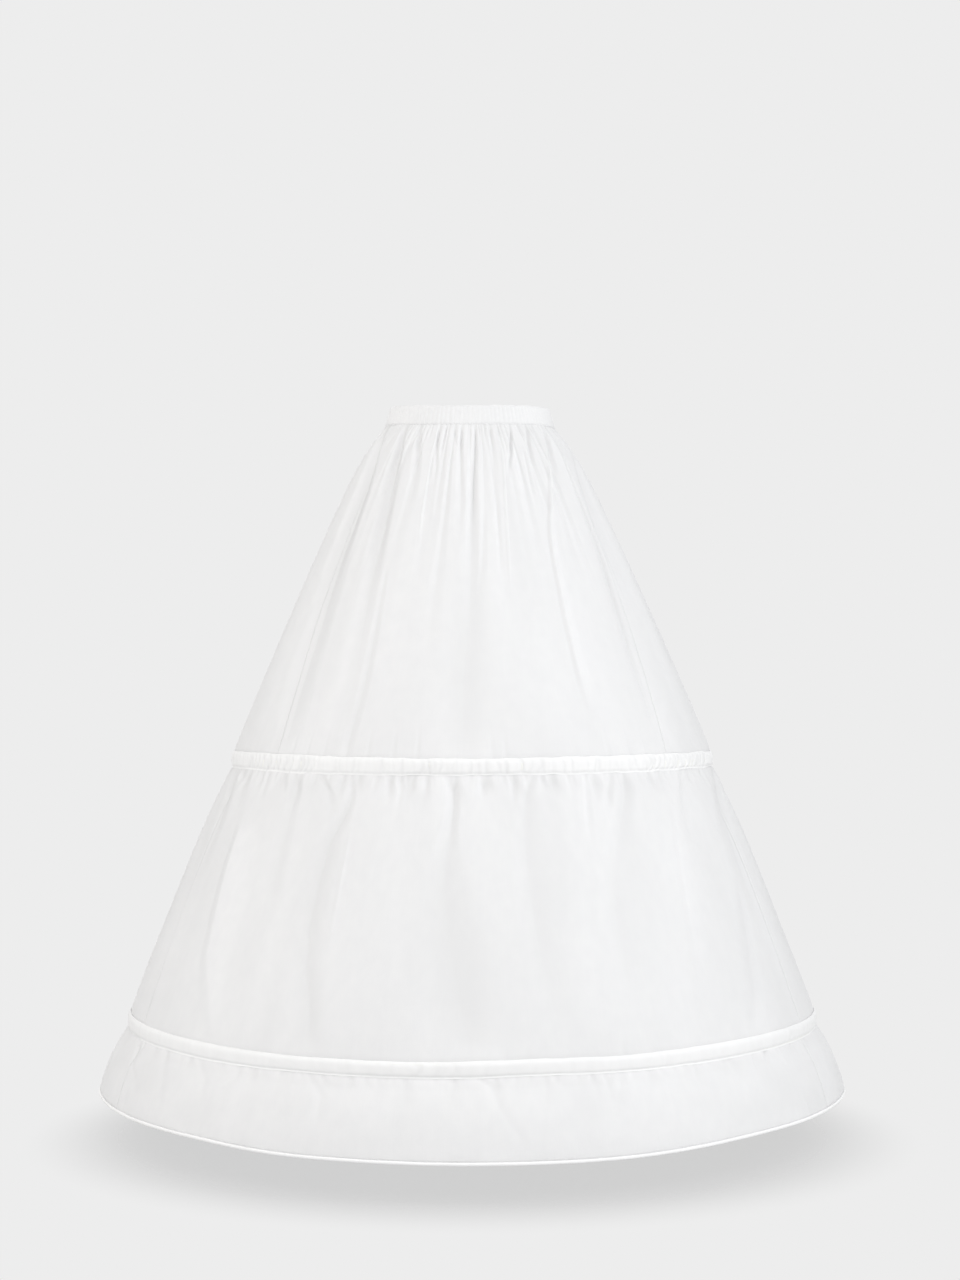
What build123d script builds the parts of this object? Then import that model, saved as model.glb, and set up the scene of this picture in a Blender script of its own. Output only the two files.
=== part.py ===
"""Two-hoop underskirt: a ribbed waistband, an upper and a lower tier, and a flounce with a rolled hem.

The origin is the centre of the waist opening, in the plane of the waistband's top edge.
+Z is up and -Y is the front. Left and right are the wearer's, so left is +X. Lengths are millimetres.
"""

import math
import os

from build123d import *

os.makedirs("parts", exist_ok=True)

# Waist opening, measured inside the band's top edge
waist_width = 237.0
waist_depth = 179.0

# Waistband: a ribbed sleeve of doubled cloth with a flat elastic in its tunnel
band_height = 30.0
band_flare = 9.0
band_cloth = 0.8
band_roll = 3.0
rib_count = 116
rib_depth = 0.35
elastic_height = 22.0
elastic_thickness = 1.2

# Cloth of the tiers and the flounce, and the clearance between pieces that are sewn together
cloth_thickness = 0.8
seam_clearance = 0.3

# How far the hoops and the hem hang below the waist, and how wide they hold the skirt
mid_hoop_drop = 537.0
mid_hoop_radius = 364.5
lower_hoop_drop = 925.0
lower_hoop_radius = 518.0
hem_drop = 1040.0
hem_radius = 563.5

# Hoop strip, and the sleeve that joins its two ends at the centre back
hoop_height = 10.0
hoop_thickness = 1.6
hoop_corner = 0.4
hoop_end_gap = 3.0
joiner_length = 44.0
joiner_wall = 0.5
joiner_fit = 0.15

# Casing tapes over the hoops, stitched along both edges and puckered by their stitching
tape_thickness = 0.8
mid_casing_height = 25.0
mid_casing_bulge = 4.8
mid_casing_puckers = 60
mid_pucker_depth = 0.9
lower_casing_height = 23.0
lower_casing_bulge = 4.8
lower_casing_puckers = 44
lower_pucker_depth = 0.5

# Side seams at the top and the foot of each tier, in degrees from the centre front
upper_seam_angles = (60.0, 50.0)
lower_seam_angles = (68.0, 66.0)
flounce_seam_angles = (65.0, 64.0)
back_seam_angle = 180.0

# How far each tier springs outward of the straight line between its two edges, and how soon
upper_spring = 17.0
upper_spring_rise = 0.07
lower_spring = 10.5
lower_spring_rise = 0.1
flounce_spring = 10.0
flounce_spring_rise = 0.2

# Gathers under the band and under the casings, and the broad folds that they run into
band_seam_ripple = 1.0
upper_gathers = 42
upper_gather_depth = 3.8
upper_folds = 11
upper_fold_depth = 5.0
lower_gathers = 54
lower_gather_depth = 2.6
lower_folds = 13
lower_fold_depth = 6.0
flounce_gathers = 66
flounce_gather_depth = 1.2
flounce_folds = 9
flounce_fold_depth = 2.0
points_per_wave = 4
smooth_ring_points = 48

# What makes the gathers uneven, as (swings round the waist, amount, start), and the two sets of broad folds
gather_swings = ((3, 0.9, 0.4), (7, 0.5, 1.1))
main_fold_share = 0.65
main_fold_start = 0.6
close_fold_start = 2.0

# Rolled hem, folded round the flounce's edge and a stiff line
hem_height = 4.8
hem_wall = 0.8
hem_slot_clearance = 0.4
hem_edge_depth = 2.0
hem_line_diameter = 0.8
hem_line_clearance = 0.1
hem_corner = 0.5

# Sizes that follow from the ones above
tunnel_thickness = elastic_thickness + 2 * seam_clearance
band_thickness = tunnel_thickness + 2 * band_cloth + rib_depth
band_half_width = waist_width / 2 + band_thickness
band_half_depth = waist_depth / 2 + band_thickness
hoop_stand_off = seam_clearance + joiner_wall + joiner_fit
mid_seat = mid_hoop_radius - hoop_stand_off
lower_seat = lower_hoop_radius - hoop_stand_off
hem_slot = cloth_thickness + 2 * hem_slot_clearance
hem_slot_radius = hem_radius - hem_wall
hem_width = hem_slot + 2 * hem_wall
hem_top_drop = hem_drop - hem_height
flounce_edge_radius = hem_slot_radius - hem_slot_clearance
band_rest = seam_clearance + band_height


def point_on(half_width, half_depth, angle):
    """Point of a plan outline, at an angle in radians from the centre front towards the wearer's left."""
    return Vector(half_width * math.sin(angle), -half_depth * math.cos(angle))


def gather_wave(count, angle):
    """Ripple from -1 to 1 with `count` unevenly spaced crests round the waist."""
    swing = sum(amount * math.sin(swings * angle + start) for swings, amount, start in gather_swings)
    return math.cos(count * angle + swing)


def fold_wave(count, angle):
    """Broad folds from -1 to 1, made uneven by a second set that is nearly twice as close."""
    main = math.cos(count * angle + main_fold_start)
    close = math.cos((2 * count - 3) * angle + close_fold_start)
    return main_fold_share * main + (1 - main_fold_share) * close


def waved(gathers, gather_depth, folds, fold_depth):
    """Ripple of one level: its gathers and its broad folds, each at that level's depth."""
    return lambda angle: gather_depth * gather_wave(gathers, angle) + fold_depth * fold_wave(folds, angle)


def plain(angle):
    """No ripple."""
    return 0.0


def ring_outline(half_width, half_depth, ripple, points):
    """Closed outline with a ripple that is a function of the angle."""
    angles = [2 * math.pi * step / points for step in range(points)]
    places = [point_on(half_width + ripple(angle), half_depth + ripple(angle), angle) for angle in angles]
    return Edge.make_spline(places, periodic=True, parameters=[step / points for step in range(points + 1)])


smooth_face = (plain, smooth_ring_points)


def ring_section(drop, half_width, half_depth, wall, outer, inner=smooth_face):
    """One level of a closed band, `wall` thick inward, whose two faces are each (ripple, points)."""
    with BuildSketch(Plane.XY.offset(-drop)) as section:
        with BuildLine():
            add(ring_outline(half_width, half_depth, *outer))
        make_face()
        with BuildLine():
            add(ring_outline(half_width - wall, half_depth - wall, *inner))
        make_face(mode=Mode.SUBTRACT)
    return section.sketch


def panel_outline(half_width, half_depth, ripple, first, last, steps):
    """Open outline from the first to the last angle, with a ripple that is a function of the angle."""
    shares = [step / steps for step in range(steps + 1)]
    angles = [first + (last - first) * share for share in shares]
    places = [point_on(half_width + ripple(angle), half_depth + ripple(angle), angle) for angle in angles]
    return Edge.make_spline(places, parameters=shares)


def panel_section(level, first_seam, last_seam, steps):
    """One level of a panel, half the seam clearance short of its seams, which are functions of the drop.

    A level is (drop, half-width, half-depth, ripple), where the widths are those of its outer face.
    """
    drop, half_width, half_depth, ripple = level
    short = seam_clearance / 2 / half_width
    first = math.radians(first_seam(drop)) + short
    last = math.radians(last_seam(drop)) - short
    inner_width = half_width - cloth_thickness
    inner_depth = half_depth - cloth_thickness
    outer = panel_outline(half_width, half_depth, ripple, first, last, steps)
    inner = panel_outline(inner_width, inner_depth, ripple, first, last, steps)
    with BuildSketch(Plane.XY.offset(-drop)) as section:
        with BuildLine():
            add(outer)
            add(inner)
            Line(outer @ 0, inner @ 0)
            Line(outer @ 1, inner @ 1)
        make_face()
    return section.sketch


def hanging_levels(top, bottom, spring, rise, waves, stations):
    """Levels of the free cloth between two edges, each edge a (drop, half-width, half-depth).

    Each station is (share of the way down, share of the gathers' depth, share of the folds' depth). The outline
    leaves the top edge steeply, by its spring, and runs out on the straight line to the bottom edge.
    """
    gathers, gather_depth, folds, fold_depth = waves
    levels = []
    for share, gathered, folded in stations:
        drop, half_width, half_depth = (start + (end - start) * share for start, end in zip(top, bottom))
        sprung = spring * (1 - math.exp(-share / rise)) * (1 - share**2)
        ripple = waved(gathers, gather_depth * gathered, folds, fold_depth * folded)
        levels.append((drop, half_width + sprung, half_depth + sprung, ripple))
    return levels


def straight_seam(angles, hanging):
    """Angle of a side seam, in degrees, as a straight-line function of the drop over a tier's free cloth."""
    top_angle, foot_angle = angles
    top_drop = hanging[0][0]
    foot_drop = hanging[-1][0]
    return lambda drop: top_angle + (foot_angle - top_angle) * (drop - top_drop) / (foot_drop - top_drop)


def tier_panels(name, seam_angles, hanging, top_strip, bottom_strip, waves):
    """Front, back left and back right panels of a tier, each written under its own name.

    The free cloth is one smooth wall, and a strip is the straight wall of an edge that is stitched down.
    """
    left = straight_seam(seam_angles, hanging)
    spans = {
        "front": (lambda drop: -left(drop), left),
        "back_left": (left, lambda drop: back_seam_angle),
        "back_right": (lambda drop: -back_seam_angle, lambda drop: -left(drop)),
    }
    middle_drop = (hanging[0][0] + hanging[-1][0]) / 2
    for side, (first, last) in spans.items():
        span = last(middle_drop) - first(middle_drop)
        steps = math.ceil(waves * points_per_wave * span / 360)
        with BuildPart() as panel:
            loft([panel_section(level, first, last, steps) for level in hanging])
            for strip in (top_strip, bottom_strip):
                if strip:
                    loft([panel_section(level, first, last, steps) for level in strip], ruled=True)
        panel.part.label = f"{name}_{side}_panel"
        export_step(panel.part, f"parts/{panel.part.label}.step")


# Waistband casing: outer and inner walls that close at the top and bottom round the elastic's tunnel
def band_level(drop, inset):
    """Half-width and half-depth at a drop, inset from the band's outer face."""
    flare = band_flare * drop / band_height
    return band_half_width + flare - inset, band_half_depth + flare - inset


def ribs(angle):
    """Fine upright ribs of the drawn-up cloth."""
    return rib_depth * math.cos(rib_count * angle)


# Levels of the band from its foot up, as (drop, inset), with both edges rolled in
band_levels = (
    (band_height, rib_depth),
    (band_height - band_roll, 0.0),
    (band_roll, 0.0),
    (0.0, rib_depth),
)
ribbed_face = (ribs, rib_count * points_per_wave)
band_sections = [
    ring_section(drop, *band_level(drop, inset), band_thickness - inset, ribbed_face)
    for drop, inset in band_levels
]
tunnel_sections = [
    ring_section(drop, *band_level(drop, band_cloth + rib_depth), tunnel_thickness, smooth_face)
    for drop in (band_height - band_cloth, band_cloth)
]
with BuildPart() as waistband_casing:
    loft(band_sections, ruled=True)
    loft(tunnel_sections, ruled=True, mode=Mode.SUBTRACT)
waistband_casing.part.label = "waistband_casing"
export_step(waistband_casing.part, "parts/waistband_casing.step")

# Flat elastic that fills the tunnel's thickness and is centred in its height
elastic_inset = band_cloth + rib_depth + seam_clearance
elastic_drops = ((band_height + elastic_height) / 2, (band_height - elastic_height) / 2)
elastic_sections = [
    ring_section(drop, *band_level(drop, elastic_inset), elastic_thickness, smooth_face)
    for drop in elastic_drops
]
with BuildPart() as waist_elastic:
    loft(elastic_sections, ruled=True)
waist_elastic.part.label = "waist_elastic"
export_step(waist_elastic.part, "parts/waist_elastic.step")

# Upper tier: gathered hard into the band's lower edge, and held flat under the mid casing
band_edge_inset = (band_thickness - cloth_thickness) / 2
upper_top = (band_rest, *band_level(band_height, band_edge_inset))
mid_casing_top = (mid_hoop_drop - mid_casing_height / 2, mid_seat, mid_seat)
mid_casing_bottom = (mid_hoop_drop + mid_casing_height / 2, mid_seat, mid_seat)
above_mid_seam = (mid_hoop_drop - seam_clearance / 2, mid_seat, mid_seat)
below_mid_seam = (mid_hoop_drop + seam_clearance / 2, mid_seat, mid_seat)
upper_waves = (upper_gathers, upper_gather_depth, upper_folds, upper_fold_depth)
upper_stations = (
    (0.0, band_seam_ripple / upper_gather_depth, 0.0),
    (0.04, 1.0, 0.2),
    (0.14, 0.85, 0.4),
    (0.32, 0.4, 0.9),
    (0.62, 0.08, 1.0),
    (0.9, 0.0, 0.45),
    (1.0, 0.0, 0.0),
)
tier_panels(
    "upper",
    upper_seam_angles,
    hanging_levels(upper_top, mid_casing_top, upper_spring, upper_spring_rise, upper_waves, upper_stations),
    None,
    [(*mid_casing_top, plain), (*above_mid_seam, plain)],
    upper_gathers,
)

# Lower tier: gathered into the seam under the mid casing, and held flat under the lower casing
lower_casing_top = (lower_hoop_drop - lower_casing_height / 2, lower_seat, lower_seat)
lower_casing_bottom = (lower_hoop_drop + lower_casing_height / 2, lower_seat, lower_seat)
above_lower_seam = (lower_hoop_drop - seam_clearance / 2, lower_seat, lower_seat)
below_lower_seam = (lower_hoop_drop + seam_clearance / 2, lower_seat, lower_seat)
lower_waves = (lower_gathers, lower_gather_depth, lower_folds, lower_fold_depth)
lower_stations = (
    (0.0, 0.0, 0.0),
    (0.05, 1.0, 0.2),
    (0.15, 0.75, 0.6),
    (0.32, 0.2, 1.0),
    (0.62, 0.0, 1.0),
    (0.88, 0.0, 0.6),
    (1.0, 0.0, 0.0),
)
tier_panels(
    "lower",
    lower_seam_angles,
    hanging_levels(
        mid_casing_bottom, lower_casing_top, lower_spring, lower_spring_rise, lower_waves, lower_stations
    ),
    [(*below_mid_seam, plain), (*mid_casing_bottom, plain)],
    [(*lower_casing_top, plain), (*above_lower_seam, plain)],
    lower_gathers,
)

# Flounce: lightly gathered into the seam under the lower casing, with its edge down in the rolled hem
hem_mouth = (hem_top_drop, flounce_edge_radius, flounce_edge_radius)
flounce_edge = (hem_top_drop + hem_edge_depth, flounce_edge_radius, flounce_edge_radius)
flounce_waves = (flounce_gathers, flounce_gather_depth, flounce_folds, flounce_fold_depth)
flounce_stations = (
    (0.0, 0.0, 0.0),
    (0.12, 1.0, 0.2),
    (0.35, 0.6, 0.8),
    (0.7, 0.1, 1.0),
    (1.0, 0.0, 0.0),
)
tier_panels(
    "flounce",
    flounce_seam_angles,
    hanging_levels(
        lower_casing_bottom, hem_mouth, flounce_spring, flounce_spring_rise, flounce_waves, flounce_stations
    ),
    [(*below_lower_seam, plain), (*lower_casing_bottom, plain)],
    [(*hem_mouth, plain), (*flounce_edge, plain)],
    flounce_gathers,
)


def radial_plane(turn):
    """Upright plane through the skirt's axis, at a turn in radians from the centre back."""
    outward = (-math.sin(turn), math.cos(turn), 0)
    across = (math.cos(turn), math.sin(turn), 0)
    return Plane(origin=(0, 0, 0), x_dir=outward, z_dir=across)


def make_hoop(name, drop, radius):
    """Flat strip bent to a ring, whose two ends face each other across a small gap at the centre back."""
    half_gap = hoop_end_gap / 2 / radius
    with BuildPart() as hoop:
        with BuildSketch(radial_plane(half_gap)):
            with Locations((radius + hoop_thickness / 2, -drop)):
                Rectangle(hoop_thickness, hoop_height)
            fillet(vertices(), hoop_corner)
        revolve(axis=Axis.Z, revolution_arc=360 - 2 * math.degrees(half_gap))
    hoop.part.label = name
    export_step(hoop.part, f"parts/{name}.step")


def make_joiner(name, drop, radius):
    """Short flat sleeve round the two ends of a hoop."""
    half_turn = joiner_length / 2 / radius
    bore_thickness = hoop_thickness + 2 * joiner_fit
    bore_height = hoop_height + 2 * joiner_fit
    with BuildPart() as joiner:
        with BuildSketch(radial_plane(-half_turn)):
            with Locations((radius + hoop_thickness / 2, -drop)):
                Rectangle(bore_thickness + 2 * joiner_wall, bore_height + 2 * joiner_wall)
                Rectangle(bore_thickness, bore_height, mode=Mode.SUBTRACT)
        revolve(axis=Axis.Z, revolution_arc=2 * math.degrees(half_turn))
    joiner.part.label = name
    export_step(joiner.part, f"parts/{name}.step")


# Levels of a casing, as (place from its middle towards its edge, share of the puckers' depth)
casing_levels = ((1.0, 0.0), (0.7, 0.8), (0.3, 1.0), (-0.3, 1.0), (-0.7, 0.8), (-1.0, 0.0))


def make_casing(name, drop, seat, height, bulge, puckers, pucker_depth):
    """Tape that stands out over the hoop in a shallow arch and comes back to the cloth at both edges."""

    def puckered(share):
        return lambda angle: pucker_depth * share * gather_wave(puckers, angle)

    points = puckers * points_per_wave
    sections = []
    for share, pucker_share in casing_levels:
        outer_radius = seat + seam_clearance + tape_thickness + bulge * (1 - share**4)
        face = (puckered(pucker_share), points)
        sections.append(
            ring_section(drop + share * height / 2, outer_radius, outer_radius, tape_thickness, face, face)
        )
    with BuildPart() as casing:
        loft(sections, ruled=True)
    casing.part.label = name
    export_step(casing.part, f"parts/{name}.step")


make_hoop("mid_hoop", mid_hoop_drop, mid_hoop_radius)
make_joiner("mid_hoop_joiner", mid_hoop_drop, mid_hoop_radius)
make_casing(
    "mid_casing",
    mid_hoop_drop,
    mid_seat,
    mid_casing_height,
    mid_casing_bulge,
    mid_casing_puckers,
    mid_pucker_depth,
)
make_hoop("lower_hoop", lower_hoop_drop, lower_hoop_radius)
make_joiner("lower_hoop_joiner", lower_hoop_drop, lower_hoop_radius)
make_casing(
    "lower_casing",
    lower_hoop_drop,
    lower_seat,
    lower_casing_height,
    lower_casing_bulge,
    lower_casing_puckers,
    lower_pucker_depth,
)

# Rolled hem: a narrow fold that is open at the top for the flounce's edge, with its stiff line lying in it
with BuildPart() as rolled_hem:
    with BuildSketch(Plane.XZ):
        with Locations((hem_radius, -hem_drop)):
            Rectangle(hem_width, hem_height, align=(Align.MAX, Align.MIN))
        fillet(vertices(), hem_corner)
        with Locations((hem_slot_radius, hem_wall - hem_drop)):
            Rectangle(hem_slot, hem_height, align=(Align.MAX, Align.MIN), mode=Mode.SUBTRACT)
    revolve(axis=Axis.Z)
rolled_hem.part.label = "rolled_hem"
export_step(rolled_hem.part, "parts/rolled_hem.step")

hem_line_height = hem_wall + hem_line_clearance + hem_line_diameter / 2 - hem_drop
with BuildPart() as hem_line:
    with BuildSketch(Plane.XZ):
        with Locations((hem_slot_radius - hem_slot / 2, hem_line_height)):
            Circle(hem_line_diameter / 2)
    revolve(axis=Axis.Z)
hem_line.part.label = "hem_line"
export_step(hem_line.part, "parts/hem_line.step")
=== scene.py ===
import math

import bpy
import numpy as np
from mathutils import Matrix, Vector


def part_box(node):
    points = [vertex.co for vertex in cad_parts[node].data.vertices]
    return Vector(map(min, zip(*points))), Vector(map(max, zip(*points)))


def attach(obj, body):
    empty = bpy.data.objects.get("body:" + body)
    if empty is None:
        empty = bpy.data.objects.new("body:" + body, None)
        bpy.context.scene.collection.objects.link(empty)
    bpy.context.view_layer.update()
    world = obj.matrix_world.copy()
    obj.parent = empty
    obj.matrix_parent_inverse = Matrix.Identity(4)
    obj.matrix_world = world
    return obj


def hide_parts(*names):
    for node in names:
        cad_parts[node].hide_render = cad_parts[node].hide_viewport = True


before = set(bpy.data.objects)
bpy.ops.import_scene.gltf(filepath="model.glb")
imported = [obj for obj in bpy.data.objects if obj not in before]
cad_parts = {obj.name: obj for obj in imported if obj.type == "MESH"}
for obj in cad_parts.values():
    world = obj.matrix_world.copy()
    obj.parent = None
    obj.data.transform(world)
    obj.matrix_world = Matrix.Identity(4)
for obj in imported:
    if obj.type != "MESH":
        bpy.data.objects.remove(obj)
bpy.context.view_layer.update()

# Angles run from the centre front towards +X, and drops run down from the waistband's top edge.
# Lengths are metres.
mm = 0.001
turn = 2 * math.pi

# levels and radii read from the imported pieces
bandLow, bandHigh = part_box("waistband_casing")
_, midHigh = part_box("mid_hoop")
_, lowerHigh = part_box("lower_hoop")
midTapeLow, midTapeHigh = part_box("mid_casing")
lowerTapeLow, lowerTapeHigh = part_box("lower_casing")
hemLow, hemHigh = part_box("rolled_hem")

clothThickness = 0.35 * mm
tapeThickness = 0.7 * mm
seamLap = 0.5 * mm  # how far a panel reaches over or under its neighbour
hoopThickness = 1.6 * mm
hoopStandOff = 0.95 * mm  # from the cloth's seat line to the hoop
bandFlare = 9 * mm  # how much wider the band's foot is than its head
ribRelief = 0.35 * mm

bandDrop = -bandLow.z
bandFoot = (bandHigh.x - ribRelief, bandHigh.y - ribRelief)
bandHead = (bandFoot[0] - bandFlare, bandFoot[1] - bandFlare)
midSeat = midHigh.x - hoopThickness - hoopStandOff
lowerSeat = lowerHigh.x - hoopThickness - hoopStandOff
midTape = (-midTapeHigh.z, -midTapeLow.z)
lowerTape = (-lowerTapeHigh.z, -lowerTapeLow.z)
midDrop = sum(midTape) / 2
lowerDrop = sum(lowerTape) / 2
hemTopDrop = -hemHigh.z
hemDrop = -hemLow.z
hemRadius = hemHigh.x
print(f"frame read: mid hoop {midSeat:.4f}, lower hoop {lowerSeat:.4f}, hem {hemRadius:.4f}")


def smoothStep(x):
    # 0 below 0, 1 above 1, and 3x^2 - 2x^3 between
    x = np.clip(x, 0, 1)
    return x * x * (3 - 2 * x)


def bell(distance, height, width):
    # height * e^(-(distance / width)^2)
    return height * np.exp(-((distance / width) ** 2))


def softNoise(across, down, seed):
    # random heights from -1 to 1 on a lattice of unit cells, blended smoothly between the lattice points
    table = np.random.default_rng(seed).uniform(-1, 1, (257, 257))
    column = np.floor(across).astype(int)
    row = np.floor(down).astype(int)
    fx = smoothStep(across - column)
    fy = smoothStep(down - row)

    def at(i, j):
        return table[(row + j) % 257, (column + i) % 257]

    top = at(0, 0) * (1 - fx) + at(1, 0) * fx
    foot = at(0, 1) * (1 - fx) + at(1, 1) * fx
    return top * (1 - fy) + foot * fy


def ringNoise(angle, down, cells, cellDown, seed):
    # soft noise that closes on itself after a whole turn, with that many cells round the ring
    across = (angle / turn) % 1.0 * cells
    first = softNoise(across, down / cellDown, seed)
    wrapped = softNoise(across - cells, down / cellDown, seed)
    share = smoothStep((across - cells + 2) / 2)
    return first * (1 - share) + wrapped * share


def fromPlace(angle, place):
    # signed difference of two angles, in degrees, brought to within half a turn
    return (np.degrees(angle) - place + 180) % 360 - 180


def roundTheRing(angle, places, values):
    # straight lines between values given at places in degrees, eased by averaging over 6 degrees
    around = np.degrees(angle)
    return sum(np.interp(around + step, places, values, period=360) for step in (-3, -1, 1, 3)) / 4


def alongTheFold(share, places, values):
    # straight lines between a fold's knots, with the corners eased by averaging over nearby shares
    return sum(np.interp(share + step, places, values) for step in (-0.02, -0.007, 0.007, 0.02)) / 4


def foldKnots(knots):
    # columns of share, angle, depth, left reach and right reach; a short knot keeps the reaches before it
    full = []
    for knot in knots:
        full.append(tuple(knot) + (full[-1][len(knot):] if full else ()))
    return np.array(full, float).T


def foldField(angle, share, folds, crisp, gain):
    # each fold is a line across the cloth, where it dips by gain * depth * (1 - t)^2 * (1 + 2t(1 - crisp)),
    # with t the distance from the line over the fold's reach on that side
    height = np.zeros_like(angle)
    rows = share[:, 0]
    for knots in folds:
        places, line, depth, left, right = foldKnots(knots)
        away = fromPlace(angle, alongTheFold(rows, places, line)[:, None])
        leftReach = alongTheFold(rows, places, left)[:, None]
        rightReach = alongTheFold(rows, places, right)[:, None]
        t = np.clip(np.abs(away) / np.where(away < 0, leftReach, rightReach), 0, 1)
        height -= alongTheFold(rows, places, depth)[:, None] * mm * (1 - t) ** 2 * (1 + 2 * t * (1 - crisp))
    return gain * height


def strayFolds(seed, low, high, count, lengths, depths, reaches, drift, start=0.01):
    # folds at uneven places between two angles: each leaves the edge, deepens, strays sideways, widens and
    # fades; its steps are shares of its length, its depth and its reach
    rng = np.random.default_rng(seed)
    folds = []
    for number in range(count):
        place = low + (high - low) * (number + rng.uniform(0.1, 0.9)) / count
        length, depth, reach = (rng.uniform(*span) for span in (lengths, depths, reaches))
        wander = rng.normal(0, drift)
        lean = rng.uniform(0.7, 1.4)
        steps = ((0, 0.7, 0.5), (0.12, 1, 0.8), (0.35, 0.9, 1.2), (0.65, 0.6, 1.6), (1, 0, 1.8))
        folds.append([
            (start + length * t, place + wander * t, depth * d, reach * r * lean, reach * r / lean)
            for t, d, r in steps
        ])
    return folds


def ringAngles(count):
    # evenly spaced angles once round the ring, in one row
    return np.linspace(-math.pi, math.pi, count, endpoint=False)[None, :]


def placePoints(angle, halfWidth, halfDepth, drop, aside=0):
    # point of the skirt: half-width times sine, minus half-depth times cosine, and the drop downwards
    return np.stack([halfWidth * np.sin(angle) + aside, -halfDepth * np.cos(angle), -drop], -1)


def gridNormals(points):
    # cross product of the differences along both directions of the grid, pointing away from the axis
    normals = np.cross(np.gradient(points, axis=0), np.gradient(points, axis=1))
    normals /= np.maximum(np.linalg.norm(normals, axis=-1, keepdims=True), 1e-12)
    return -normals if (normals * points * (1, 1, 0)).sum() < 0 else normals


def gridQuads(index):
    # four corners of each cell of a grid of point numbers
    corners = [index[:-1, :-1], index[:-1, 1:], index[1:, 1:], index[1:, :-1]]
    return np.stack([c.ravel() for c in corners], -1)


def makeMesh(name, points, quads, material, uv=None, mottleAndPaintedShade=None):
    # numpy arrays straight into a mesh with smooth faces; its UV map holds the cloth's own flat coordinates,
    # and its point attribute of mottle and painted shade, from 0 to 1, says how far the colour turns towards
    # a painted shade colour, mostly in folds and wrinkles, with random mottle mixed in
    mesh = bpy.data.meshes.new(name)
    mesh.vertices.add(len(points))
    mesh.vertices.foreach_set("co", points.astype(np.float32).ravel())
    mesh.loops.add(quads.size)
    mesh.loops.foreach_set("vertex_index", quads.astype(np.int32).ravel())
    mesh.polygons.add(len(quads))
    mesh.polygons.foreach_set("loop_start", np.arange(0, quads.size, quads.shape[1], dtype=np.int32))
    mesh.polygons.foreach_set("loop_total", np.full(len(quads), quads.shape[1], np.int32))
    mesh.update(calc_edges=True)
    mesh.polygons.foreach_set("use_smooth", np.ones(len(quads), bool))
    if uv is not None:
        layer = mesh.uv_layers.new(name="flat")
        layer.data.foreach_set("uv", uv[quads.ravel()].astype(np.float32).ravel())
    # painted shade: this attribute darkens the colour in folds and wrinkles, with random mottle in it
    if mottleAndPaintedShade is not None:
        depth = mesh.attributes.new("mottleAndPaintedShade", "FLOAT", "POINT")
        depth.data.foreach_set("value", mottleAndPaintedShade.astype(np.float32))
    mesh.validate()
    mesh.materials.append(material)
    piece = bpy.data.objects.new(name, mesh)
    bpy.context.scene.collection.objects.link(piece)
    return piece


def facesOut(points, quads):
    # a closed mesh whose faces point outwards has a positive volume
    a, b, c, d = (points[quads[:, k]] for k in range(4))
    return (a * np.cross(b, c)).sum() + (a * np.cross(c, d)).sum() > 0


def clothFromGrid(name, points, flat, thickness, material, mottleAndPaintedShade):
    # an outer face of cloth, the same face one thickness inward along its normals, and a flat-shaded rim
    # all round, as one closed mesh
    rows, columns = points.shape[:2]
    inner = points - gridNormals(points) * thickness
    count = rows * columns
    index = np.arange(count).reshape(rows, columns)
    rim = np.concatenate([index[0], index[1:, -1], index[-1, -2::-1], index[-2:0:-1, 0]])
    rimNext = np.roll(rim, -1)
    rimQuads = np.stack([rim, rim + count, rimNext + count, rimNext], -1)
    quads = np.concatenate([gridQuads(index), gridQuads(index + count)[:, ::-1], rimQuads])
    both = np.concatenate([points.reshape(-1, 3), inner.reshape(-1, 3)])
    if not facesOut(both, quads):
        quads = quads[:, ::-1]
    flatPlaces = np.concatenate([flat.reshape(-1, 2)] * 2)
    piece = makeMesh(name, both, quads, material, flatPlaces, np.concatenate([mottleAndPaintedShade.ravel()] * 2))
    smooth = np.arange(len(quads)) < len(quads) - len(rimQuads)
    piece.data.polygons.foreach_set("use_smooth", smooth)
    return piece


def ringFromSection(name, points, flat, material, mottleAndPaintedShade=None):
    # a closed section carried round the ring, with both directions of the grid closed
    index = np.arange(points.shape[0] * points.shape[1]).reshape(points.shape[:2])
    quads = gridQuads(np.pad(index, ((0, 1), (0, 1)), "wrap"))
    flatPoints = points.reshape(-1, 3)
    if not facesOut(flatPoints, quads):
        quads = quads[:, ::-1]
    mottleAndPaintedShade = None if mottleAndPaintedShade is None else mottleAndPaintedShade.ravel()
    return makeMesh(name, flatPoints, quads, material, flat.reshape(-1, 2), mottleAndPaintedShade)


def finishPiece(piece, node):
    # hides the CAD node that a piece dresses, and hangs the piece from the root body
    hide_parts(node)
    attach(piece, "root")


# Materials

def newMaterial(name):
    # an empty node material, with its nodes, its links and its shader
    material = bpy.data.materials.new(name)
    material.use_nodes = True
    nodes = material.node_tree.nodes
    return material, nodes, material.node_tree.links, nodes["Principled BSDF"]


def feed(links, value, socket):
    # another node's socket is linked, and a constant is set
    if isinstance(value, bpy.types.NodeSocket):
        links.new(value, socket)
    else:
        socket.default_value = value


def mathNode(nodes, links, operation, *values):
    # one operation on sockets and constant numbers
    node = nodes.new("ShaderNodeMath")
    node.operation = operation
    for socket, value in zip(node.inputs, values):
        feed(links, value, socket)
    return node.outputs["Value"]


def mixColours(nodes, links, share, first, second):
    # first * (1 - share) + second * share
    blend = nodes.new("ShaderNodeMix")
    blend.data_type = "RGBA"
    feed(links, share, blend.inputs["Factor"])
    feed(links, first, blend.inputs["A"])
    feed(links, second, blend.inputs["B"])
    return blend.outputs["Result"]


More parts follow.
